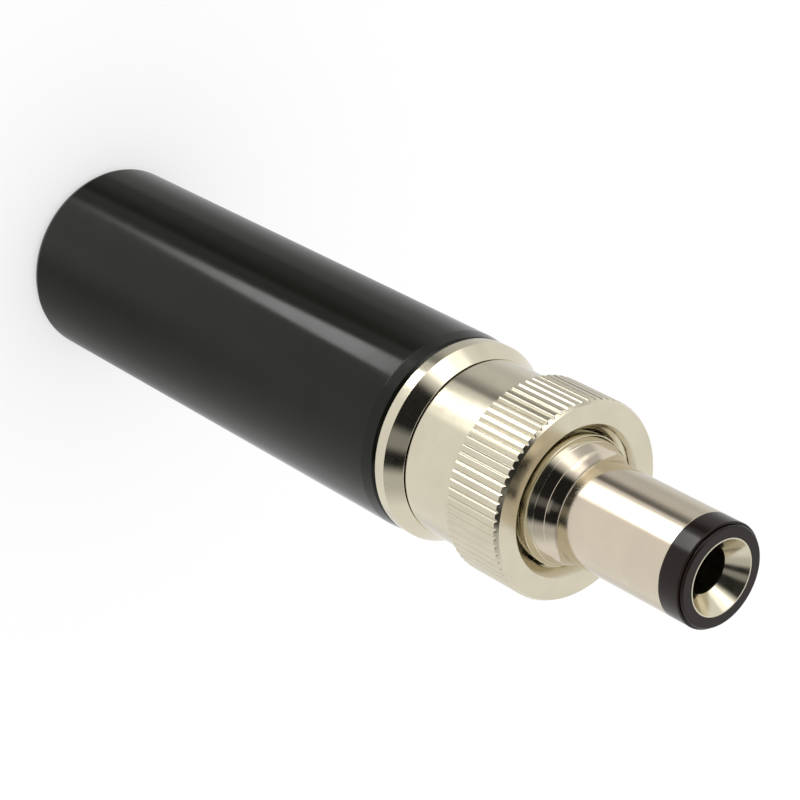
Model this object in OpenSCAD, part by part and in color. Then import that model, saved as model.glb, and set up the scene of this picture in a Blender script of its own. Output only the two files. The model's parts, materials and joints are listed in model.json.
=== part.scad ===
// Locking DC barrel plug for soldering to a cable: a nickel-plated body with a captive
// knurled coupling nut, a barrel with a centre socket, and a screw-on handle.
// The axis is +Z, the tip points up, and Z = 0 is the rear face of the handle.

/* [Handle] */
// Outside diameter of the handle
handle_d = 11; // [10.9:0.1:13]
// Length of the handle
handle_len = 31; // [29:0.5:40]
// Radius of the handle's outer edge at the rear
handle_edge_r = 0.6; // [0.2:0.1:1]
// Radius of the handle's edge at the front
handle_front_r = 0.2; // [0.1:0.05:0.3]
// Length over which the handle draws in towards its front
handle_crown_len = 1; // [0.6:0.1:2]
// Radial amount by which it draws in
handle_crown = 0.1; // [0.05:0.01:0.15]
// Diameter of the hole for the cable
cable_hole_d = 6; // [3:0.1:6.4]
// Radius of the rounding where the cable enters
cable_edge_r = 0.4; // [0.1:0.1:0.6]
// Thickness of the handle's rear wall
rear_wall = 4; // [2:0.5:6]
// Wall of the handle round the solder terminals
handle_wall = 1.55; // [1.2:0.05:1.6]

/* [Handle thread] */
// Outside diameter of the thread on the body
body_thread_d = 8.9; // [8.6:0.05:9]
// Length of the thread on the body
body_thread_len = 5; // [4:0.25:6]
// Pitch of the thread, which sets its undercut and its lead-in
body_thread_pitch = 0.75; // [0.5:0.05:1]
// Depth of the undercut behind the flange
undercut_depth = 0.45; // [0.2:0.05:0.5]
// Room left in the handle behind the thread
thread_runout = 0.5; // [0.3:0.1:1]

/* [Insulating liner] */
// Wall of the liner tube
liner_wall = 0.35; // [0.2:0.05:0.4]
// Room between the liner and the end of the body
liner_end_room = 0.8; // [0.3:0.1:2]

/* [Flange] */
// Diameter of the flange
flange_d = 10.8; // [10.2:0.1:10.8]
// Height of the flange's cylindrical band
flange_band = 0.7; // [0.4:0.1:1.5]
// Height of the flange's cone
flange_cone = 0.87; // [0.4:0.01:1.5]
// Diameter of the flange's front face
flange_face_d = 9.7; // [9:0.1:10]
// Width of the broken edge at the flange's rear
flange_break = 0.1; // [0.04:0.02:0.2]
// Width of the broken edge at the collar's rear
collar_break = 0.06; // [0.02:0.02:0.1]
// Thickness of the wall between the rear bore and the neck
web_t = 0.9; // [0.6:0.1:1.2]
// Diameter of the bore in the rear of the body
rear_bore_d = 6.8; // [6.4:0.1:7]

/* [Neck and collar] */
// Diameter of the neck that the nut's ring slides on
neck_d = 5.4; // [5:0.1:5.6]
// Fillet between the neck and the flange
neck_fillet = 0.2; // [0.1:0.05:0.3]
// Diameter of the bore through the neck
neck_bore_d = 4.2; // [3.6:0.1:4.4]
// Diameter of the collar that stops the nut
collar_d = 6.95; // [6.6:0.05:7]
// Length of the collar's cylinder
collar_len = 2; // [1.2:0.1:3]
// Height of the cone in front of the collar
collar_cone = 0.4; // [0.2:0.05:0.6]
// Diameter at the top of that cone
collar_cone_d = 6.54; // [6.4:0.02:6.6]
// Width of the fine seam between body and barrel
seam_w = 0.06; // [0.02:0.02:0.1]

/* [Coupling nut] */
// Length of the nut
nut_len = 7.45; // [6.9:0.05:9]
// Diameter of the nut's plain rear part
nut_plain_d = 9.7; // [9.4:0.1:10]
// Diameter over the knurl's ridges
knurl_d = 10.7; // [10.3:0.1:11]
// Number of ridges round the nut
knurl_count = 72; // [48:4:96]
// Depth of the knurl
knurl_depth = 0.18; // [0.1:0.02:0.25]
// Position of a ridge's shoulders, as a share of its width from each root
ridge_shoulder_at = 0.24; // [0.15:0.01:0.35]
// Height of those shoulders, as a share of the knurl's depth
ridge_shoulder_h = 0.66; // [0.5:0.02:0.9]
// Length of the knurl, with its front chamfer
knurl_len = 3.75; // [3:0.05:4.5]
// Radial width of the nut's front chamfer
nut_chamfer = 0.28; // [0.15:0.01:0.4]
// Height of the nut's front chamfer
nut_chamfer_h = 0.22; // [0.15:0.01:0.4]
// Edge break at the nut's rear
nut_rear_break = 0.1; // [0.05:0.05:0.3]
// Bore of the nut, which is the minor diameter of its thread
nut_bore_d = 7.2; // [7.1:0.05:7.4]
// Major diameter of the nut's thread, which sets its relief groove
nut_thread_d = 7.94; // [7.9:0.01:8]
// Diameter of the countersink at the nut's mouth
nut_mouth_d = 8.2; // [8:0.02:8.8]
// Width of the relief groove behind the thread
nut_relief_w = 0.6; // [0.3:0.1:0.8]
// Length of the nut's thread
nut_thread_len = 3.7; // [3:0.1:4]
// Distance that the nut slides forward
nut_travel = 2.5; // [1:0.1:3]
// Gap between the nut and the flange when the nut is back
nut_gap = 0.08; // [0.05:0.01:0.4]

/* [Retaining ring] */
// Thickness of the split ring
ring_t = 0.6; // [0.4:0.05:0.8]
// Outside diameter of the split ring, sprung out
ring_d = 8; // [7.8:0.1:8.2]
// Radial width of the split ring
ring_w = 0.9; // [0.75:0.05:0.95]
// Angle of the opening in the ring
ring_split = 30; // [15:1:60]
// Height of the ring's groove above the nut's rear end
groove_h = 2.15; // [1.5:0.05:2.4]

/* [Barrel] */
// Outside diameter of the barrel
barrel_d = 5.5; // [5.4:0.05:5.6]
// Length of the barrel from its shoulder to the tip
barrel_len = 9.5; // [8.5:0.1:12]
// Wall of the barrel
barrel_wall = 0.4; // [0.3:0.05:0.5]
// Height of the cone above the barrel's shoulder
shoulder_cone = 0.55; // [0.3:0.05:0.6]
// Diameter at the top of that cone
shoulder_top_d = 6; // [5.9:0.02:6.3]
// Height of the hollow flare above that cone
flare_h = 0.8; // [0.5:0.05:1.2]
// Diameter of the spigot that is pressed into the collar
spigot_d = 5.8; // [5.7:0.05:6]
// Length of that spigot
spigot_len = 1.8; // [1:0.1:2]

/* [Tip] */
// Length of the insulating tip in front of the barrel
tip_len = 1.45; // [1.2:0.05:2]
// Distance of the tip's groove from its front face
tip_groove_at = 0.42; // [0.35:0.01:0.6]
// Depth and half width of the tip's groove
tip_groove = 0.09; // [0.05:0.01:0.15]
// Diameter of the tip's front lip
tip_lip_d = 5.34; // [5.2:0.02:5.4]
// Draft of the front lip, as the loss of radius over its height
tip_draft = 0.04; // [0.02:0.01:0.08]
// Radius of the tip's front edge
tip_edge_r = 0.2; // [0.1:0.02:0.25]

/* [Centre contact] */
// Diameter of the pin that the centre contact takes
pin_bore_d = 2.5; // [2.1:0.1:2.5]
// Wall of the centre contact
contact_wall = 0.5; // [0.4:0.02:0.54]
// Diameter of the contact's countersunk mouth
mouth_d = 3.9; // [3.6:0.02:4]
// Depth of that countersink
mouth_depth = 1; // [0.6:0.05:1.2]
// Thickness of the contact's rim round the mouth
rim_t = 0.07; // [0.05:0.01:0.12]
// Length of the straight bore behind the countersink
pin_bore_len = 4.5; // [3:0.1:5]
// Diameter of the wider bore that holds the contact spring
spring_bore_d = 3.12; // [3.1:0.02:3.2]
// Length of the contact behind the straight bore
contact_rear_len = 4.8; // [4.5:0.1:5]
// Diameter of the contact's tail
tail_d = 1.6; // [1.2:0.1:1.8]
// Length of the tail's head in the contact
tail_head_len = 1; // [0.6:0.1:1.4]

/* [Contact spring] */
// Thickness of the spring's sheet
spring_t = 0.12; // [0.08:0.01:0.15]
// Depth of the spring's waist
spring_waist = 0.2; // [0.1:0.01:0.24]
// Height of the spring's plain ends
spring_end = 0.4; // [0.2:0.05:0.6]
// Angle of the slit along the spring
spring_slit = 30; // [10:1:60]

/* [Insulators and terminals] */
// Height of the head of the insulator in the body
core_head = 3; // [2:0.1:3.2]
// Diameter of that insulator's rear spigot
core_spigot_d = 3; // [2.6:0.1:3.4]
// Thickness of both terminals' sheet
terminal_t = 0.5; // [0.4:0.05:0.6]
// Thickness of the washer between the terminals
washer_t = 0.6; // [0.4:0.1:1]
// Room between that washer and the sleeve terminal's strip
washer_room = 0.1; // [0.05:0.05:0.3]
// Room between the strip's outer face and the tube round it
strip_room = 0.3; // [0.28:0.02:0.4]
// Width of the sleeve terminal's strip
strip_w = 2.2; // [1.6:0.1:2.4]
// Height of the lower end of the cable clamp
clamp_z = 6.5; // [6.1:0.1:9]
// Height of the cable clamp
clamp_h = 3.5; // [2.5:0.1:5]
// Angle that the clamp's ears reach round the cable
clamp_angle = 230; // [180:5:260]
// Diameter of the tip terminal's eye
tip_eye_d = 4; // [3.4:0.1:4.2]
// Width of the tip terminal's lug
lug_w = 2.4; // [1.8:0.1:3]
// Length of the tip terminal's lug
lug_len = 8; // [5:0.5:10]
// Diameter of the solder hole in each terminal
solder_hole_d = 1.2; // [0.8:0.1:1.4]
// Diameter of the riveted end of the tail
rivet_d = 2.4; // [2.2:0.1:2.8]
// Height of that riveted end
rivet_h = 0.4; // [0.3:0.05:0.6]

/* [Fits] */
// Radial clearance between the handle's and the body's thread cylinders
thread_clearance = 0.05; // [0.02:0.01:0.1]
// Radial clearance of the liner in the handle
liner_clearance = 0.1; // [0.05:0.01:0.15]
// Radial clearance between pieces that are pressed together
press_clearance = 0.02; // [0.01:0.005:0.03]
// Clearance of the split ring in its groove
ring_clearance = 0.05; // [0.03:0.01:0.1]

/* [Hidden] */
$fn = 96;
// Facets of the wide, shallow arcs
arc_fn = 360;
// Overshoot of cutting shapes past the faces they cut
over = 1;

// Heights, from the rear upwards
z_seat = handle_len;
z_cone = z_seat + flange_band;
z_face = z_cone + flange_cone;
z_web = z_face - web_t;
z_body_rear = z_seat - body_thread_len;
z_nut = z_face + nut_gap;
z_nut_front = z_nut + nut_len;
z_groove = z_nut + groove_h;
z_groove_top = z_groove + ring_t + 2 * ring_clearance;
z_ring = z_groove + ring_clearance;
z_ring_top = z_ring + ring_t;
z_collar = z_ring_top + nut_travel + ring_clearance;
z_collar_top = z_collar + collar_len;
z_shoulder = z_collar_top + collar_cone;
z_spigot = z_shoulder - spigot_len;
z_flare = z_shoulder + shoulder_cone;
z_flare_top = z_flare + flare_h;
z_tip = z_shoulder + barrel_len;
z_band = z_tip - tip_len;
z_bore_top = z_tip - mouth_depth;
z_spring_top = z_bore_top - pin_bore_len;
z_contact = z_spring_top - contact_rear_len;
z_head = z_web - core_head;
z_sleeve = z_head - terminal_t;
z_washer = z_sleeve - washer_t;
z_tip_eye = z_washer - terminal_t;
z_rivet = z_tip_eye - rivet_h;

// Radii that several pieces share
cavity_r = handle_d / 2 - handle_wall;
body_thread_r = body_thread_d / 2;
handle_thread_r = body_thread_r + thread_clearance;
liner_r = cavity_r - liner_clearance;
liner_bore_r = liner_r - liner_wall;
barrel_bore_r = barrel_d / 2 - barrel_wall;
contact_r = pin_bore_d / 2 + contact_wall;
mouth_r = mouth_d / 2;
rim_r = mouth_r + rim_t;
rear_bore_r = rear_bore_d / 2;
neck_bore_r = neck_bore_d / 2;
strip_y = min(liner_bore_r, rear_bore_r) - strip_room;
washer_r = strip_y - terminal_t - washer_room;
tail_r = tail_d / 2;
nut_bore_r = nut_bore_d / 2;
groove_r = ring_d / 2 + ring_clearance;

// Radius of the arc along which the handle draws in
crown_r = (handle_crown_len * handle_crown_len + handle_crown * handle_crown) / (2 * handle_crown);
// Radius of the hollow flare, from its height and its width
flare_w = shoulder_top_d / 2 - barrel_d / 2;
flare_r = (flare_h * flare_h + flare_w * flare_w) / (2 * flare_w);
// Outline of the knurl: each ridge has a root, two rounded shoulders and a tip
ridge_shape = [
    [0, 0], [ridge_shoulder_at, ridge_shoulder_h], [1 / 2, 1], [1 - ridge_shoulder_at, ridge_shoulder_h]
];
knurl_outline = [
    for (i = [0 : knurl_count - 1], p = ridge_shape)
        let (a = (i + p[0]) * 360 / knurl_count, r = knurl_d / 2 - knurl_depth * (1 - p[1]))
            [r * cos(a), r * sin(a)]
];

// A solid turned from half of its section, given as [radius, height] points
module turned(section) {
    rotate_extrude() polygon(section);
}

// A plain tube
module tube(r_out, r_in, z0, z1) {
    turned([[r_in, z0], [r_out, z0], [r_out, z1], [r_in, z1]]);
}

// What a quarter round takes off a corner of a section: sx and sy are the signs of the
// directions from the corner towards the material
module corner_round(x, y, r, sx, sy) {
    difference() {
        translate([x - (sx > 0 ? over : r), y - (sy > 0 ? over : r)])
            square([r + over, r + over]);
        translate([x + sx * r, y + sy * r]) circle(r);
    }
}

module handle_section() {
    difference() {
        polygon([
            [cable_hole_d / 2, 0],
            [handle_d / 2, 0],
            [handle_d / 2, z_seat],
            [handle_thread_r, z_seat],
            [handle_thread_r, z_body_rear - thread_runout],
            [cavity_r, z_body_rear - thread_runout],
            [cavity_r, rear_wall],
            [cable_hole_d / 2, rear_wall]
        ]);
        difference() {
            translate([handle_thread_r, z_seat - handle_crown_len]) square([handle_d, handle_crown_len + over]);
            translate([handle_d / 2 - crown_r, z_seat - handle_crown_len]) circle(crown_r, $fn = arc_fn);
        }
        corner_round(handle_d / 2 - handle_crown, z_seat, handle_front_r, -1, -1);
        corner_round(handle_d / 2, 0, handle_edge_r, -1, 1);
        corner_round(cable_hole_d / 2, 0, cable_edge_r, 1, 1);
    }
}

// Moulded handle, open at the front for the body and at the rear for the cable
module handle() {
    color("#2c2c2a") rotate_extrude() handle_section();
}

// Insulating tube round the solder joints
module liner() {
    color("#d9d2bd")
        tube(liner_r, liner_bore_r, rear_wall + liner_clearance, z_body_rear - liner_end_room);
}

module body_section() {
    lead_in = body_thread_pitch / 2;
    polygon([
        [rear_bore_r, z_body_rear],
        [body_thread_r - lead_in, z_body_rear],
        [body_thread_r, z_body_rear + lead_in],
        [body_thread_r, z_seat - body_thread_pitch - undercut_depth],
        [body_thread_r - undercut_depth, z_seat - body_thread_pitch],
        [body_thread_r - undercut_depth, z_seat],
        [flange_d / 2 - flange_break, z_seat],
        [flange_d / 2, z_seat + flange_break],
        [flange_d / 2, z_cone],
        [flange_face_d / 2, z_face],
        [neck_d / 2 + neck_fillet, z_face],
        [neck_d / 2, z_face + neck_fillet],
        [neck_d / 2, z_collar],
        [collar_d / 2 - collar_break, z_collar],
        [collar_d / 2, z_collar + collar_break],
        [collar_d / 2, z_collar_top],
        [collar_cone_d / 2 + seam_w / 2, z_shoulder - seam_w],
        [collar_cone_d / 2 - seam_w, z_shoulder],
        [spigot_d / 2 + press_clearance, z_shoulder],
        [spigot_d / 2 + press_clearance, z_spigot],
        [neck_bore_r, z_spigot],
        [neck_bore_r, z_web],
        [rear_bore_r, z_web]
    ]);
}

// Turned body: rear thread, flange, neck and collar in one piece
module plug_body() {
    color("#cfc7b2") rotate_extrude() body_section();
}

module barrel_section() {
    polygon([
        [barrel_bore_r, z_spigot],
        [spigot_d / 2, z_spigot],
        [spigot_d / 2, z_shoulder],
        [collar_cone_d / 2 - seam_w, z_shoulder],
        [collar_cone_d / 2 - seam_w / 2, z_shoulder + seam_w],
        [shoulder_top_d / 2, z_flare],
        [barrel_d / 2, z_flare],
        [barrel_d / 2, z_band],
        [barrel_bore_r, z_band]
    ]);
    difference() {
        translate([barrel_bore_r, z_flare]) square([shoulder_top_d / 2 - barrel_bore_r, flare_h]);
        translate([barrel_d / 2 + flare_r, z_flare_top]) circle(flare_r, $fn = arc_fn);
    }
}

// Outer contact: a thin tube that flares into its shoulder, with a spigot in the collar
module barrel() {
    color("#cfc7b2") rotate_extrude() barrel_section();
}

module tip_section() {
    stem_r = barrel_bore_r - press_clearance;
    bore_r = contact_r + press_clearance;
    lip_top_r = tip_lip_d / 2 - tip_draft;
    z_groove_mid = z_tip - tip_groove_at;
    difference() {
        polygon([
            [bore_r, z_contact],
            [stem_r, z_contact],
            [stem_r, z_band],
            [barrel_d / 2, z_band],
            [barrel_d / 2, z_groove_mid - tip_groove],
            [tip_lip_d / 2 - tip_groove, z_groove_mid],
            [tip_lip_d / 2, z_groove_mid + tip_groove],
            [lip_top_r, z_tip - tip_edge_r],
            [lip_top_r, z_tip],
            [rim_r + press_clearance, z_tip],
            [bore_r, z_bore_top]
        ]);
        corner_round(lip_top_r, z_tip, tip_edge_r, -1, -1);
    }
}

// Insulating tip with its stem inside the barrel
module tip_insulator() {
    color("#1f1e1d") rotate_extrude() tip_section();
}

// Centre contact: a socket with a countersunk mouth
module centre_contact() {
    color("#cfc7b2") turned([
        [spring_bore_d / 2, z_contact],
        [contact_r, z_contact],
        [contact_r, z_bore_top],
        [rim_r, z_tip],
        [mouth_r, z_tip],
        [pin_bore_d / 2, z_bore_top],
        [pin_bore_d / 2, z_spring_top],
        [spring_bore_d / 2, z_spring_top]
    ]);
}

// Split spring sleeve that grips the pin, with a narrow waist
module contact_spring() {
    out_r = spring_bore_d / 2 - press_clearance;
    z0 = z_contact + tail_head_len + press_clearance;
    z1 = z_spring_top - press_clearance;
    mid = (z0 + z1) / 2;
    color("#c9a45c") rotate_extrude(angle = 360 - spring_slit) polygon([
        [out_r, z0],
        [out_r, z0 + spring_end],
        [out_r - spring_waist, mid],
        [out_r, z1 - spring_end],
        [out_r, z1],
        [out_r - spring_t, z1],
        [out_r - spring_t, z1 - spring_end],
        [out_r - spring_t - spring_waist, mid],
        [out_r - spring_t, z0 + spring_end],
        [out_r - spring_t, z0]
    ]);
}

// Tail of the centre contact, riveted over behind the tip terminal
module contact_tail() {
    head_r = spring_bore_d / 2 - press_clearance;
    color("#cfc7b2") turned([
        [0, z_rivet],
        [rivet_d / 2, z_rivet],
        [rivet_d / 2, z_tip_eye],
        [tail_r, z_tip_eye],
        [tail_r, z_contact],
        [head_r, z_contact],
        [head_r, z_contact + tail_head_len],
        [0, z_contact + tail_head_len]
    ]);
}

// Insulator that carries the tail through the body
module core_insulator() {
    hole_r = tail_r + press_clearance;
    color("#3a3835") turned([
        [hole_r, z_sleeve],
        [core_spigot_d / 2, z_sleeve],
        [core_spigot_d / 2, z_head],
        [rear_bore_r - press_clearance, z_head],
        [rear_bore_r - press_clearance, z_web],
        [neck_bore_r - press_clearance, z_web],
        [neck_bore_r - press_clearance, z_contact],
        [hole_r, z_contact]
    ]);
}

// Sleeve terminal: an eye in the body's rear bore, a strip and a cable clamp
module sleeve_terminal() {
    color("#cdb98a") difference() {
        union() {
            tube(rear_bore_r - press_clearance, core_spigot_d / 2 + press_clearance, z_sleeve, z_head);
            translate([-strip_w / 2, strip_y - terminal_t, clamp_z])
                cube([strip_w, terminal_t, z_head - clamp_z]);
            rotate([0, 0, 90 - clamp_angle / 2]) rotate_extrude(angle = clamp_angle)
                translate([strip_y - terminal_t, clamp_z]) square([terminal_t, clamp_h]);
        }
        translate([0, strip_y + over, (clamp_z + clamp_h + z_sleeve) / 2]) rotate([90, 0, 0])
            cylinder(h = terminal_t + 2 * over, d = solder_hole_d);
    }
}

// Insulating washer between the two terminals
module terminal_washer() {
    color("#b08a5a") tube(washer_r, tail_r + press_clearance, z_washer, z_sleeve);
}

// Tip terminal: an eye on the tail and a lug with a solder hole
module tip_terminal() {
    lug_y = -tip_eye_d / 2;
    lug_z = z_washer - lug_len;
    color("#cdb98a") difference() {
        union() {
            tube(tip_eye_d / 2, tail_r + press_clearance, z_tip_eye, z_washer);
            translate([-lug_w / 2, lug_y, lug_z + lug_w / 2])
                cube([lug_w, terminal_t, lug_len - lug_w / 2]);
            translate([0, lug_y + terminal_t, lug_z + lug_w / 2]) rotate([90, 0, 0])
                cylinder(h = terminal_t, d = lug_w);
        }
        translate([0, lug_y + terminal_t + over, lug_z + lug_w / 2]) rotate([90, 0, 0])
            cylinder(h = terminal_t + 2 * over, d = solder_hole_d);
    }
}

// Split ring that sits in the nut's groove and slides along the neck
module retaining_ring() {
    color("#9a958a") rotate([0, 0, ring_split / 2]) rotate_extrude(angle = 360 - ring_split)
        translate([ring_d / 2 - ring_w, z_ring]) square([ring_w, ring_t]);
}

// Room inside the nut: bore, ring groove, thread relief and countersunk mouth
module nut_room() {
    z_thread = z_nut_front - nut_thread_len;
    mouth_h = (nut_mouth_d - nut_bore_d) / 2;
    turned([
        [0, z_nut - over],
        [nut_bore_r, z_nut - over],
        [nut_bore_r, z_groove],
        [groove_r, z_groove],
        [groove_r, z_groove_top],
        [nut_bore_r, z_groove_top],
        [nut_bore_r, z_thread - nut_relief_w],
        [nut_thread_d / 2, z_thread - nut_relief_w],
        [nut_thread_d / 2, z_thread],
        [nut_bore_r, z_thread],
        [nut_bore_r, z_nut_front - mouth_h],
        [nut_mouth_d / 2, z_nut_front],
        [nut_mouth_d / 2, z_nut_front + over],
        [0, z_nut_front + over]
    ]);
}

// Captive coupling nut: a plain rear part and a knurled front with a chamfer
module coupling_nut() {
    z_knurl = z_nut_front - knurl_len;
    color("#cfc7b2") difference() {
        union() {
            turned([
                [0, z_nut],
                [nut_plain_d / 2 - nut_rear_break, z_nut],
                [nut_plain_d / 2, z_nut + nut_rear_break],
                [nut_plain_d / 2, z_knurl + knurl_len / 2],
                [0, z_knurl + knurl_len / 2]
            ]);
            intersection() {
                translate([0, 0, z_knurl]) linear_extrude(height = knurl_len) polygon(knurl_outline);
                turned([
                    [0, z_knurl - over],
                    [knurl_d / 2 + nut_chamfer, z_knurl - over],
                    [knurl_d / 2 + nut_chamfer, z_nut_front - 2 * nut_chamfer_h],
                    [knurl_d / 2 - nut_chamfer, z_nut_front],
                    [0, z_nut_front]
                ]);
            }
        }
        nut_room();
    }
}

handle();
liner();
plug_body();
barrel();
tip_insulator();
centre_contact();
contact_spring();
contact_tail();
core_insulator();
sleeve_terminal();
terminal_washer();
tip_terminal();
retaining_ring();
coupling_nut();
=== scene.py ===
"""Looks of the locking DC barrel plug: materials, threads, light and camera."""
import json
import math

import bpy
from mathutils import Matrix, Vector


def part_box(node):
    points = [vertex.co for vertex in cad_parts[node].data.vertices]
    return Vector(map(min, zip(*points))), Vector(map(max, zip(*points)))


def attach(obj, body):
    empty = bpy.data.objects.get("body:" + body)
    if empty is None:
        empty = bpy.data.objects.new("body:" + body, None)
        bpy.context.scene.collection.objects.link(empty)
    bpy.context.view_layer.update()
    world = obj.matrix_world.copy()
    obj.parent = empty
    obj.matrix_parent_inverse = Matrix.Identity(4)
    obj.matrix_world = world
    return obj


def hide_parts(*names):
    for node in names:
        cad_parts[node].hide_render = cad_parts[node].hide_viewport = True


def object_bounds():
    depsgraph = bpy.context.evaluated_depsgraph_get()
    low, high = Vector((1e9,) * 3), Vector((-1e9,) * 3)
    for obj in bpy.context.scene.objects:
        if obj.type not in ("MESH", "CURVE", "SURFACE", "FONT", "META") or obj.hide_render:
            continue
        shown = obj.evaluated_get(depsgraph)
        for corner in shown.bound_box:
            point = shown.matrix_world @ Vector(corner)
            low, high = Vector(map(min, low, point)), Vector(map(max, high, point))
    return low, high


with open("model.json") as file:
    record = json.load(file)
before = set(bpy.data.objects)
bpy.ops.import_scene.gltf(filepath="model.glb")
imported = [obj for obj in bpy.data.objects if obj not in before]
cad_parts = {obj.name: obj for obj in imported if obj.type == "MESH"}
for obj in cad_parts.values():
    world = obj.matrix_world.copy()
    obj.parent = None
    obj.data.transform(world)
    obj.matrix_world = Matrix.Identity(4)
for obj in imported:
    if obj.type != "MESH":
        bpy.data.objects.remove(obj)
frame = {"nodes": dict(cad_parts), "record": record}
cad_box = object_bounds()
record = frame["record"]
nodes = frame["nodes"]
MM = 0.001
# Distance from an edge to the ring beside it, and half of a soft step, in millimetres
EASE = 0.02


# ---- a small helper for node trees -----------------------------------------
class Nodes:
    """Adds nodes to a tree; every method that makes a value returns its socket."""

    def __init__(self, tree):
        self.tree = tree

    def node(self, kind, **values):
        made = self.tree.nodes.new(kind)
        for key, value in values.items():
            if hasattr(made, key):
                setattr(made, key, value)
            else:
                made.inputs[key.replace("_", " ")].default_value = value
        return made

    def put(self, value, socket):
        """Links a socket, or sets a plain number."""
        if isinstance(value, bpy.types.NodeSocket):
            self.tree.links.new(value, socket)
        else:
            socket.default_value = value

    def math(self, operation, *values):
        made = self.node("ShaderNodeMath", operation=operation)
        for value, socket in zip(values, made.inputs):
            self.put(value, socket)
        return made.outputs[0]

    def ramp(self, value, start, end, low=0.0, high=1.0):
        """Smooth step from low at start to high at end."""
        made = self.node("ShaderNodeMapRange", interpolation_type="SMOOTHSTEP")
        for key, number in (
            ("From Min", start),
            ("From Max", end),
            ("To Min", low),
            ("To Max", high),
        ):
            self.put(number, made.inputs[key])
        self.put(value, made.inputs["Value"])
        return made.outputs["Result"]

    def mix(self, fac, a, b):
        """Colour a where fac is 0, and colour b where it is 1."""
        made = self.node("ShaderNodeMix", data_type="RGBA")
        for value, socket in ((fac, 0), (a, 6), (b, 7)):
            if isinstance(value, tuple):
                value = (*value, 1)
            self.put(value, made.inputs[socket])
        return made.outputs[2]


class Shader(Nodes):
    """A material that works in the object's own coordinates, in millimetres."""

    def __init__(self, name):
        self.mat = bpy.data.materials.new(name)
        self.mat.use_nodes = True
        super().__init__(self.mat.node_tree)
        self.bsdf = self.tree.nodes["Principled BSDF"]
        self.coord = self.node("ShaderNodeTexCoord").outputs["Object"]

    def noise(self, scale, detail, rough=0.5):
        """Noise with scale spots to a millimetre along each axis."""
        place = self.node("ShaderNodeMapping")
        place.inputs["Scale"].default_value = [s / MM for s in scale]
        self.put(self.coord, place.inputs["Vector"])
        made = self.node("ShaderNodeTexNoise", Scale=1.0, Detail=detail, Roughness=rough)
        self.put(place.outputs["Vector"], made.inputs["Vector"])
        return made.outputs["Fac"]

    def bump(self, fac, height_mm):
        made = self.node("ShaderNodeBump", Strength=1.0, Distance=height_mm * MM)
        self.put(fac, made.inputs["Height"])
        return made.outputs["Normal"]


# ---- materials -------------------------------------------------------------
IVORY = (0.640, 0.590, 0.458)
ROSY = (0.622, 0.545, 0.432)
TURNED = (0.02, 0.02, 22)  # noise that runs round the axis, as a turning tool's rings do
SATIN = 1.9  # how much rougher the satin part of a piece is


def nickel(name, rough, base=IVORY, tint=1.0, lines=0.0004, satin_from=None):
    """Nickel plate over turned brass: fine rings from the tool, a little uneven.
    What lies above the height satin_from, in millimetres, is duller."""
    s = Shader(name)
    s.bsdf.inputs["Metallic"].default_value = 1.0
    bright = tuple(c * tint * 1.03 for c in base)
    dull = tuple(c * tint * 0.97 for c in base)
    stains = s.ramp(s.noise((0.5,) * 3, 3), 0.3, 0.7)
    s.put(s.mix(stains, dull, bright), s.bsdf.inputs["Base Color"])
    uneven = s.noise((1.6,) * 3, 4, 0.6)
    finish = s.ramp(uneven, 0.25, 0.75, rough * 0.8, rough * 1.2)
    if satin_from is not None:
        height = s.node("ShaderNodeSeparateXYZ")
        s.put(s.coord, height.inputs[0])
        start, end = (satin_from - EASE) * MM, (satin_from + EASE) * MM
        satin = s.ramp(height.outputs["Z"], start, end, 1.0, SATIN)
        finish = s.math("MULTIPLY", finish, satin)
    s.put(finish, s.bsdf.inputs["Roughness"])
    s.put(s.bump(s.noise(TURNED, 3, 0.6), lines), s.bsdf.inputs["Normal"])
    return s.mat


def plastic(name, base, rough, specular, grain=0.0006):
    """Moulded plastic with a faint orange peel."""
    s = Shader(name)
    paler = tuple(c * 1.25 for c in base)
    tone = s.ramp(s.noise((0.35,) * 3, 2), 0.3, 0.7)
    s.put(s.mix(tone, base, paler), s.bsdf.inputs["Base Color"])
    s.bsdf.inputs["Specular IOR Level"].default_value = specular
    wear = s.noise((0.8,) * 3, 3)
    finish = s.ramp(wear, 0.3, 0.7, rough * 0.88, rough * 1.12)
    s.put(finish, s.bsdf.inputs["Roughness"])
    s.put(s.bump(s.noise((4.0,) * 3, 2), grain), s.bsdf.inputs["Normal"])
    return s.mat


KNURL_LEN = 3.75
knurl_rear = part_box("coupling_nut")[1].z / MM - KNURL_LEN
looks = {
    "handle_plastic": plastic("handle_plastic", (0.0054, 0.0060, 0.0034), 0.10, 0.23, 0.0002),
    "liner_plastic": plastic("liner_plastic", (0.72, 0.68, 0.58), 0.45, 0.5),
    "body_nickel": nickel("body_nickel", 0.12),
    "nut_nickel": nickel("nut_nickel", 0.10, lines=0.0006, satin_from=knurl_rear),
    "ring_steel": nickel("ring_steel", 0.35, tint=0.75),
    "barrel_nickel": nickel("barrel_nickel", 0.09, ROSY),
    "tip_plastic": plastic("tip_plastic", (0.0090, 0.0044, 0.0028), 0.12, 0.23),
    "contact_nickel": nickel("contact_nickel", 0.16),
    "spring_bronze": nickel("spring_bronze", 0.3, tint=0.8),
    "tail_nickel": nickel("tail_nickel", 0.2),
    "core_plastic": plastic("core_plastic", (0.045, 0.042, 0.038), 0.5, 0.4),
    "terminal_tin": nickel("terminal_tin", 0.3, tint=0.95),
    "washer_fibre": plastic("washer_fibre", (0.30, 0.16, 0.08), 0.7, 0.3),
}
slot_of = {row["node"]: row["material_slot"] for row in record["subparts"]}
for node_name, slot_name in slot_of.items():
    for slot in nodes[node_name].material_slots:
        slot.material = looks[slot_name]


# ---- threaded, knurled and turned pieces ------------------------------------
RINGS_PER_PITCH = 24
SAMPLES = 216  # round a turned piece
SHARP = math.radians(30)


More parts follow.
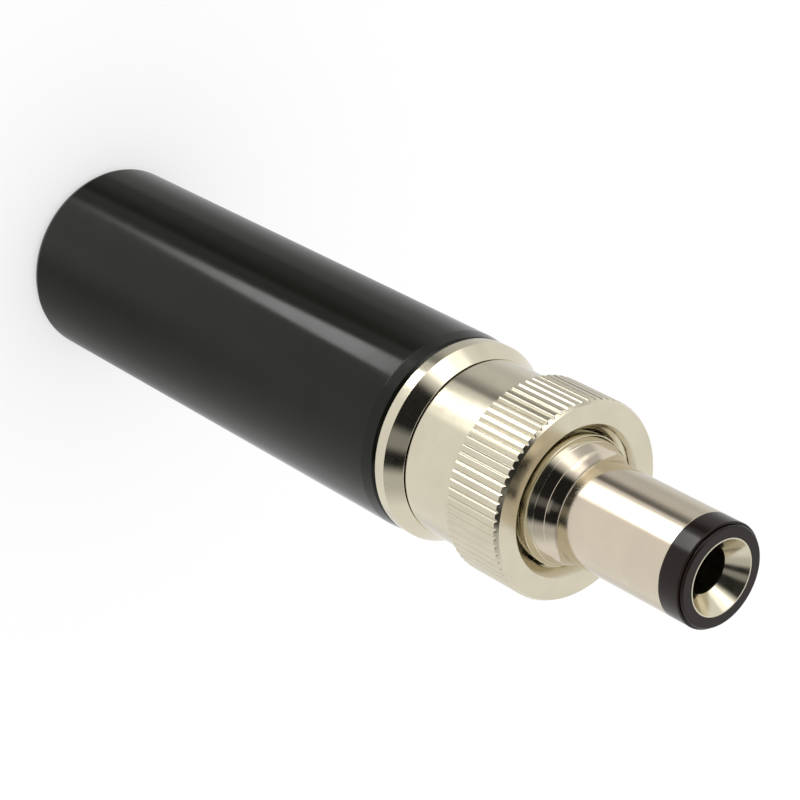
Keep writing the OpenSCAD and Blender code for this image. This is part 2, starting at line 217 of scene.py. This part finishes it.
class Revolved:
    """A closed solid of rings round the axis, listed up the outside and down the bore.
    A ring is (samples, z, radius), and radius is a number or a function of the angle."""

    def __init__(self, samples=SAMPLES):
        self.samples = samples
        self.rings = []

    def ring(self, z, radius, samples=None):
        self.rings.append((samples or self.samples, z, radius))

    def section(self, points):
        """Straight flanks with a ring close to each end, so that edges stay crisp."""
        for (r0, z0), (r1, z1) in zip(points, points[1:]):
            self.ring(z0, r0)
            length = math.hypot(r1 - r0, z1 - z0)
            if length > 6 * EASE:
                for share in (EASE / length, 1 - EASE / length):
                    self.ring(z0 + (z1 - z0) * share, r0 + (r1 - r0) * share)
        self.ring(points[-1][1], points[-1][0])

    def helix(self, z0, z1, pitch, radius):
        """Rings from z0 to z1, both included, with radius a function of angle and z."""
        count = round(abs(z1 - z0) / pitch * RINGS_PER_PITCH)
        for i in range(count + 1):
            z = z0 + (z1 - z0) * i / count
            self.ring(z, lambda angle, z=z: radius(angle, z))

    def build(self, name, body, node):
        """Makes the piece, which stands for the CAD node and rides on the body."""
        verts, faces, rings = [], [], []
        for samples, z, radius in self.rings:
            ring = []
            for i in range(samples):
                angle = 2 * math.pi * i / samples
                r = radius(angle) if callable(radius) else radius
                ring.append(len(verts))
                verts.append((r * MM * math.cos(angle), r * MM * math.sin(angle), z * MM))
            rings.append(ring)
        for a, b in zip(rings, rings[1:] + rings[:1]):
            if len(a) == len(b):
                n = len(a)
                faces += [(a[i], a[(i + 1) % n], b[(i + 1) % n], b[i]) for i in range(n)]
            else:
                faces += self.fan(a, b)
        mesh = bpy.data.meshes.new(name)
        mesh.from_pydata(verts, [], faces)
        mesh.validate()
        for face in mesh.polygons:
            face.use_smooth = True
        mesh.set_sharp_from_angle(angle=SHARP)
        mesh.materials.append(looks[slot_of[node]])
        obj = bpy.data.objects.new(name, mesh)
        bpy.context.scene.collection.objects.link(obj)
        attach(obj, body)
        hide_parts(node)
        return obj

    @staticmethod
    def fan(a, b):
        """Faces between two rings, of which one has a whole number of times more samples."""
        wide, narrow = (a, b) if len(a) > len(b) else (b, a)
        step = len(wide) // len(narrow)
        made = []
        for i, here in enumerate(narrow):
            following = narrow[(i + 1) % len(narrow)]
            for k in range(step):
                p = wide[(i * step + k) % len(wide)]
                q = wide[(i * step + k + 1) % len(wide)]
                made.append((p, q, here if k < step // 2 else following))
            made.append((wide[(i * step + step // 2) % len(wide)], following, here))
        return [tuple(reversed(f)) for f in made] if wide is b else made


def thread_radius(trough, crest, pitch, crest_share, trough_share):
    """Radius at a place on a right-hand thread with flat crests and soft flanks."""
    flank = (1 - crest_share - trough_share) / 2

    def radius(angle, z):
        share = (z / pitch - angle / (2 * math.pi)) % 1.0
        if share < crest_share:
            depth = 0.0
        elif share < crest_share + flank:
            depth = (share - crest_share) / flank
        elif share < crest_share + flank + trough_share:
            depth = 1.0
        else:
            depth = (1 - share) / flank
        depth = depth * depth * (3 - 2 * depth)
        return crest + (trough - crest) * depth

    return radius


def heights(node):
    """Lowest and highest point of a CAD node, in millimetres."""
    a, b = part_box(node)
    return a.z / MM, b.z / MM


def edge(steps, centre, radius, start, end):
    """Points (radius, height) along an arc of a section, from one angle to another."""
    out = []
    for i in range(steps + 1):
        a = math.radians(start + (end - start) * i / steps)
        out.append((centre[0] + radius * math.cos(a), centre[1] + radius * math.sin(a)))
    return out


def make_nut():
    """Coupling nut, with its knurl outside and its 5/16-32 thread inside."""
    rear, front = heights("coupling_nut")
    knurl_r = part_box("coupling_nut")[1].x / MM
    plain_r, rear_break = 4.85, 0.1
    ridges, ridge_samples = 72, 14
    groove_depth, groove_share, crown = 0.065, 0.25, 0.010
    knurl_edge = 0.05
    bevel, bevel_h, bevel_rings = 0.13, 0.24, 10
    bore_r, mouth_r = 3.6, 4.1
    thread_r, thread_len, pitch = 3.97, 3.7, 25.4 / 32
    relief_w = 0.6
    ring_r, ring_rear, ring_front = 4.05, rear + 2.15, rear + 2.85
    fine = ridges * ridge_samples
    coarse = fine // 3  # enough for the bore
    nut = Revolved(coarse)

    def ridge(angle):
        share = angle / (2 * math.pi) * ridges % 1.0
        away = min(share, 1 - share)
        groove = math.cos(math.pi / 2 * min(1.0, away / groove_share)) ** 2
        return knurl_r - groove_depth * groove - crown * (1 - 2 * away) ** 2

    def bevelled(z):
        cone = knurl_r - bevel * (z - (front - bevel_h)) / bevel_h
        return lambda angle: min(ridge(angle), cone)

    # Plain part
    nut.ring(rear, bore_r)
    nut.ring(rear, plain_r - rear_break, fine)
    for r, z in edge(4, (plain_r - rear_break, rear + rear_break), rear_break, -80, 0):
        nut.ring(z, r, fine)
    for z in (rear + rear_break + EASE, knurl_rear - EASE, knurl_rear):
        nut.ring(z, plain_r, fine)
    # Knurl and its bevel
    nut.ring(knurl_rear, lambda angle: ridge(angle) - knurl_edge, fine)
    nut.ring(knurl_rear + knurl_edge, ridge, fine)
    nut.ring(knurl_rear + knurl_edge + EASE, ridge, fine)
    for i in range(-1, bevel_rings + 1):
        z = front - bevel_h * (1 - i / bevel_rings)
        nut.ring(z, bevelled(z), fine)
    # Front face, up to the countersunk mouth
    nut.ring(front, knurl_r - bevel - EASE, fine)
    nut.ring(front, knurl_r - bevel - 4 * EASE, fine)
    nut.ring(front, mouth_r + 2 * EASE)
    nut.ring(front, mouth_r + EASE / 2)
    # Thread, and behind it the relief and the groove of the retaining ring
    thread = thread_radius(thread_r, bore_r, pitch, crest_share=0.12, trough_share=0.06)
    thread_rear = front - thread_len

    def threaded(angle, z):
        return max(thread(angle, z), mouth_r - (front - z))

    nut.helix(front - EASE / 2, thread_rear + EASE, pitch, threaded)
    nut.section(
        (
            (thread_r, thread_rear),
            (thread_r, thread_rear - relief_w),
            (bore_r, thread_rear - relief_w),
            (bore_r, ring_front),
            (ring_r, ring_front),
            (ring_r, ring_rear),
            (bore_r, ring_rear),
            (bore_r, rear + EASE),
        )
    )
    nut.build("coupling_nut_detail", "nut", "coupling_nut")


# Body and handle share one thread, M9 x 0.75, with this much room between them
JOINT_CREST, JOINT_TROUGH, JOINT_PITCH, JOINT_ROOM = 4.45, 3.99, 0.75, 0.05
joint_thread = thread_radius(
    JOINT_TROUGH, JOINT_CREST, JOINT_PITCH, crest_share=0.08, trough_share=0.12
)
# Radius at which the body's collar meets the barrel's shoulder
SEAM_R = 3.26
# The barrel's spigot, and its room in the body
SPIGOT_R, SPIGOT_ROOM = 2.9, 0.02


def make_body():
    """Turned body: rear thread, flange with a cone, neck and collar."""
    rear, shoulder = heights("plug_body")
    seat = heights("handle")[1]
    undercut_r, undercut_h = 4.0, 0.7
    lead_in, rear_break = 0.375, 0.1
    flange_r, flange_edge = 5.43, 0.04
    cone, cone_edge, cone_top_r = seat + 0.7, 0.05, 4.84
    face = seat + 1.57
    neck_r, fillet = 2.7, 0.2
    collar, collar_r, collar_break = shoulder - 2.4, 3.475, 0.06
    ledge, ledge_w = shoulder - 0.4, 0.035
    spigot_room_r, spigot_len = SPIGOT_R + SPIGOT_ROOM, 1.8
    core_r, bore_r, web = 2.1, 3.4, face - 0.9
    body = Revolved()
    body.section(((bore_r, rear), (JOINT_CREST - lead_in - rear_break, rear)))

    def threaded(angle, z):
        lead = JOINT_CREST - lead_in + (z - rear)
        run_out = undercut_r + (seat - JOINT_PITCH - z)
        return min(joint_thread(angle, z), lead, max(run_out, undercut_r))

    body.helix(rear + EASE, seat - JOINT_PITCH, JOINT_PITCH, threaded)
    body.section(
        (
            # Flange and its cone
            (undercut_r, seat - undercut_h),
            (undercut_r, seat),
            (flange_r - flange_edge, seat),
            *edge(3, (flange_r - flange_edge, seat + flange_edge), flange_edge, -70, 0),
            (flange_r, cone - 0.03),
            *edge(3, (flange_r - cone_edge, cone - EASE), cone_edge, 0, 30),
            (cone_top_r + 0.025, face - EASE),
            (cone_top_r, face),
            # Neck
            (neck_r + fillet, face),
            *edge(6, (neck_r + fillet, face + fillet), -fillet, 90, 0),
            (neck_r, collar),
            # Collar, with a ledge and a cone up to the barrel
            (collar_r - collar_break, collar),
            (collar_r, collar + collar_break),
            (collar_r, ledge - EASE),
            (collar_r - 0.015, ledge),
            (collar_r - ledge_w, ledge),
            (SEAM_R + 0.025, shoulder - 0.03),
            (SEAM_R + 0.01, shoulder - 0.01),
            (SEAM_R, shoulder),
            # Room for the barrel's spigot, and the bores behind it
            (spigot_room_r, shoulder),
            (spigot_room_r, shoulder - spigot_len),
            (core_r, shoulder - spigot_len),
            (core_r, web),
            (bore_r, web),
            (bore_r, rear + EASE),
        )
    )
    body.build("plug_body_detail", "plug", "plug_body")


def make_barrel():
    """Outer contact: a thin tube with a hollow flare above its shoulder."""
    spigot, band = heights("barrel")
    shoulder = heights("plug_body")[1]
    barrel_r, bore_r, end_break = 2.75, 2.35, 0.02
    flare, flare_top = shoulder + 0.52, shoulder + 1.3
    flare_w, flare_steps, bend = 0.25, 24, 2.0
    flare_r = barrel_r + flare_w
    hollow = []
    for i in range(flare_steps + 1):
        share = i / flare_steps
        r = barrel_r + flare_w * (1 - share) ** bend
        hollow.append((r, flare + (flare_top - flare) * share))
    barrel = Revolved()
    barrel.section(
        (
            (bore_r, spigot),
            (SPIGOT_R, spigot),
            (SPIGOT_R, shoulder),
            # Shoulder and flare
            (SEAM_R, shoulder),
            (SEAM_R - 0.005, shoulder + EASE),
            (flare_r + 0.03, flare - EASE),
            (flare_r + 0.015, flare - 0.005),
            *hollow,
            # End and bore
            (barrel_r, band - end_break),
            (barrel_r - end_break, band),
            (bore_r, band),
            (bore_r, spigot + EASE),
        )
    )
    barrel.build("barrel_detail", "plug", "barrel")


def make_tip():
    """Insulating tip: a band as wide as the barrel, a groove and a narrower lip."""
    rear, front = heights("tip_insulator")
    band = heights("barrel")[1]
    bore_r, stem_r, rim_r, mouth_depth = 1.77, 2.33, 2.04, 1.0
    band_r, band_edge = 2.75, 0.05
    groove, groove_depth = front - 0.2, 0.05
    lip_r, lip_edge = 2.62, 0.08
    tip = Revolved()
    tip.section(
        (
            (bore_r, rear),
            (stem_r, rear),
            (stem_r, band),
            (band_r, band),
            *edge(4, (band_r - band_edge, groove - 0.06), band_edge, 0, 80),
            (lip_r - groove_depth, groove),
            (lip_r - groove_depth, groove + EASE),
            (lip_r, groove + EASE + groove_depth),
            *edge(5, (lip_r - lip_edge, front - lip_edge), lip_edge, 0, 90),
            (rim_r, front),
            (bore_r, front - mouth_depth),
            (bore_r, rear + EASE),
        )
    )
    tip.build("tip_detail", "plug", "tip_insulator")


def make_handle():
    """Handle: rounded at its rear, drawn in a little at its mouth, threaded inside."""
    rear, front = heights("handle")
    handle_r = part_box("handle")[1].x / MM
    rear_edge, wall = 0.6, 4.0
    hole_r, hole_edge = 3.0, 0.4
    cavity_r = 3.95
    crown, crown_slope, mouth_edge = front - 1.0, 0.1, 0.3
    lip = front - mouth_edge * (1 - math.sin(math.atan(crown_slope)))
    lip_r = handle_r - crown_slope * (lip - crown)
    mouth_r = 4.62
    relief_r, relief_w, run_out = JOINT_CREST + JOINT_ROOM, 0.5, 0.05
    body_room = 0.5
    thread_rear = heights("plug_body")[0] - body_room
    handle = Revolved()
    handle.section(
        (
            *edge(5, (hole_r + hole_edge, rear + hole_edge), hole_edge, 180, 270),
            *edge(8, (handle_r - rear_edge, rear + rear_edge), rear_edge, -90, 0),
            (handle_r, crown),
            (lip_r, lip),
            *edge(8, (lip_r - mouth_edge, front - mouth_edge), mouth_edge, 8, 90),
            (mouth_r, front),
        )
    )

    def threaded(angle, z):
        return max(joint_thread(angle, z) + JOINT_ROOM, mouth_r - (front - z))

    thread_end = thread_rear + relief_w + run_out
    handle.helix(front - EASE, thread_end, JOINT_PITCH, threaded)
    handle.section(
        (
            (relief_r, thread_rear + relief_w),
            (relief_r, thread_rear),
            (cavity_r, thread_rear),
            (cavity_r, rear + wall),
            (hole_r, rear + wall),
            (hole_r, rear + hole_edge + EASE),
        )
    )
    handle.build("handle_detail", "handle", "handle")


make_nut()
make_body()
make_barrel()
make_tip()
make_handle()


# ---- light, floor and camera -------------------------------------------------
def studio_world():
    """A soft white studio for what the metal reflects: a dark side towards the viewer, a
    lamp above the left shoulder and one low on the left. Plain white for all other light.
    Seen by the camera, the upright sides reflect what lies low down: the handle heights up
    to -43.8 degrees, the flange to -43, the nut to -40.5 and the barrel to -36.5."""
    world = bpy.data.worlds.new("studio")
    bpy.context.scene.world = world
    world.use_nodes = True
    n = Nodes(world.node_tree)
    background = world.node_tree.nodes["Background"]
    place = n.node("ShaderNodeSeparateXYZ")
    n.put(n.node("ShaderNodeTexCoord").outputs["Generated"], place.inputs[0])
    x, y, z = place.outputs
    degrees = 180 / math.pi
    # Turn from the viewer's side, positive towards +X, and height above the horizon
    turn = n.math("MULTIPLY", n.math("ARCTAN2", x, n.math("MULTIPLY", y, -1.0)), degrees)
    height = n.math("MULTIPLY", n.math("ARCSINE", z), degrees)

    def window(value, start, end, soft_start, soft_end):
        """1 from start to end, and 0 outside, with a soft step at both."""
        rise = n.ramp(value, start - soft_start, start + soft_start)
        fall = n.ramp(value, end - soft_end, end + soft_end, 1.0, 0.0)
        return n.math("MULTIPLY", rise, fall)

    def patch(left, right, bottom, top, soft):
        """1 inside a patch of the sky, which fades over soft degrees at each side."""
        return n.math(
            "MULTIPLY",
            window(turn, left, right, soft[0], soft[1]),
            window(height, bottom, top, soft[2], soft[3]),
        )

    def darker(light, where, depth):
        return n.math("MULTIPLY", light, n.math("SUBTRACT", 1.0, n.math("MULTIPLY", where, depth)))

    def lighter(light, where, amount):
        return n.math("ADD", light, n.math("MULTIPLY", where, amount))

    light = 1.0
    # Darker patches: depth, left, right, bottom, top, and how soft each side is
    for depth, *sides, soft in (
        # Horizon band below the dark side
        (0.42, -105, 110, -28, -21, (8, 8, 3, 6)),
        # Behind, so that the back has some shading too
        (0.6, -400, -168, -30, 10, (1, 12, 8, 6)),
        (0.6, 168, 400, -30, 10, (12, 1, 8, 6)),
        # Low down, what the sides of the handle, the nut and the barrel reflect
        (0.2, -172, -112, -60, -34.5, (10, 14, 1, 2)),
        (0.28, -175, -100, -60, -43.4, (6, 10, 1, 0.8)),
        (0.57, -100, -46, -60, -43.4, (8, 4, 1, 0.8)),
        (0.3, -122, -74, -60, -34.5, (16, 8, 1, 2)),
        (0.66, -77, -63, -60, -34.5, (9, 4, 1, 2)),
        (0.5, -80, -64, -41, -34.5, (12, 8, 1, 2)),
        (0.22, -66, -47, -43, -41.7, (4, 5, 0.3, 0.2)),
        (0.14, 128, 166, -60, -34.5, (10, 10, 1, 2)),
        (0.55, 34, 176, -60, -46.5, (22, 6, 1, 4)),
        # Shoulders of the dark side
        (0.38, 62, 90, -30, 34, (10, 14, 4, 8)),
        (0.36, -104, -72, -30, 2, (8, 6, 4, 5)),
        # The dark side itself
        (0.985, -35, 62, -27, 50, (9, 8, 4, 6)),
    ):
        light = darker(light, patch(*sides, soft), depth)
    # Lighter patches: amount, left, right, bottom, top, and how soft each side is
    for amount, *sides, soft in (
        # Pale streak in the dark side
        (0.12, 20, 33, -20, 14, (4, 4, 8, 4)),
        (0.30, 19, 40, 14, 50, (6, 5, 4, 4)),
        # Upper lamp
        (0.75, -66, -46, -18, 38, (6, 6, 8, 6)),
        (0.75, -84, -46, 6, 38, (5, 6, 4, 6)),
        # Main lamp, low on the left, brightest along its top
        (1.1, -53, -13, -41.5, -34.4, (5, 5, 0.3, 0.8)),
        (0.6, -53, -13, -41.5, -40.3, (5, 5, 0.3, 0.3)),
        (7.2, -50, -16, -37.1, -34.4, (5, 5, 0.4, 0.8)),
    ):
        light = lighter(light, patch(*sides, soft), amount)
    # Long lamp under it, in three stretches: the handle reflects the lowest, which narrows
    # and fades downwards, the flange the next, and the nut the top one
    flange_from, nut_from, end = (-43.8, -43.55), (-43.1, -42.8), (-41.8, -41.2)
    half = n.math("MULTIPLY", n.math("ADD", height, 51.1), 1.5)
    half = n.ramp(height, *flange_from, half, 14.0)
    half = n.ramp(height, *nut_from, half, 5.0)
    centre = n.math("SUBTRACT", n.math("MULTIPLY", height, 0.5), 15.8)
    centre = n.ramp(height, *flange_from, centre, -36.0)
    away = n.math("ABSOLUTE", n.math("SUBTRACT", turn, centre))
    inside = n.ramp(n.math("SUBTRACT", half, away), -2.2, 2.2)
    strength = n.ramp(height, -51.0, -45.5, 0.2, 6.2)
    strength = n.ramp(height, *flange_from, strength, 1.4)
    strength = n.ramp(height, *nut_from, strength, 0.36)
    top = n.ramp(height, *end, 1.0, 0.0)
    light = lighter(light, n.math("MULTIPLY", inside, top), strength)

    path = n.node("ShaderNodeLightPath")
    shown = n.math("MULTIPLY", path.outputs["Is Glossy Ray"], n.math("SUBTRACT", light, 1.0))
    n.put(n.math("ADD", 1.0, shown), background.inputs["Strength"])
    background.inputs["Color"].default_value = (1, 1, 1, 1)


def make_floor():
    """A plain pale floor that the object stands on, seen only by the camera."""
    side = 3.0
    mesh = bpy.data.meshes.new("floor")
    corners = [(-side, -side, 0), (side, -side, 0), (side, side, 0), (-side, side, 0)]
    mesh.from_pydata(corners, [], [(0, 1, 2, 3)])
    floor = bpy.data.objects.new("floor", mesh)
    bpy.context.scene.collection.objects.link(floor)
    floor.location.z = cad_box[0].z
    s = Shader("floor")
    tone = s.mix(s.noise((0.02,) * 3, 2), (0.50,) * 3, (0.51,) * 3)
    s.put(tone, s.bsdf.inputs["Base Color"])
    s.bsdf.inputs["Roughness"].default_value = 0.9
    s.bsdf.inputs["Specular IOR Level"].default_value = 0.1
    s.bsdf.inputs["Emission Color"].default_value = (1, 1, 1, 1)
    # With the light that falls on it, this makes the floor white and keeps its shadow
    seen = s.node("ShaderNodeLightPath").outputs["Is Camera Ray"]
    s.put(s.math("MULTIPLY", seen, 0.52), s.bsdf.inputs["Emission Strength"])
    mesh.materials.append(s.mat)
    floor.visible_glossy = False
    floor.visible_diffuse = False
    floor.visible_transmission = False
    floor.visible_shadow = False


def make_camera():
    """The photograph's view: from the front and above, with the plug across the picture."""
    data = bpy.data.cameras.new("camera")
    camera = bpy.data.objects.new("camera", data)
    bpy.context.scene.collection.objects.link(camera)
    bpy.context.scene.camera = camera
    data.lens = 124.7
    data.sensor_width = 36
    data.clip_start = 0.01
    data.clip_end = 10
    place = Vector((-0.4, -106.1, 126.3)) * MM
    right = Vector((-0.463, 0.608, 0.645)).normalized()
    back = Vector((0, -0.7276, 0.686)).normalized()
    up = back.cross(right).normalized()
    right = up.cross(back)
    turned = Matrix((right, up, back)).transposed().to_4x4()
    camera.matrix_world = Matrix.Translation(place) @ turned


studio_world()
make_floor()
make_camera()

bpy.context.scene.view_settings.view_transform = "Standard"
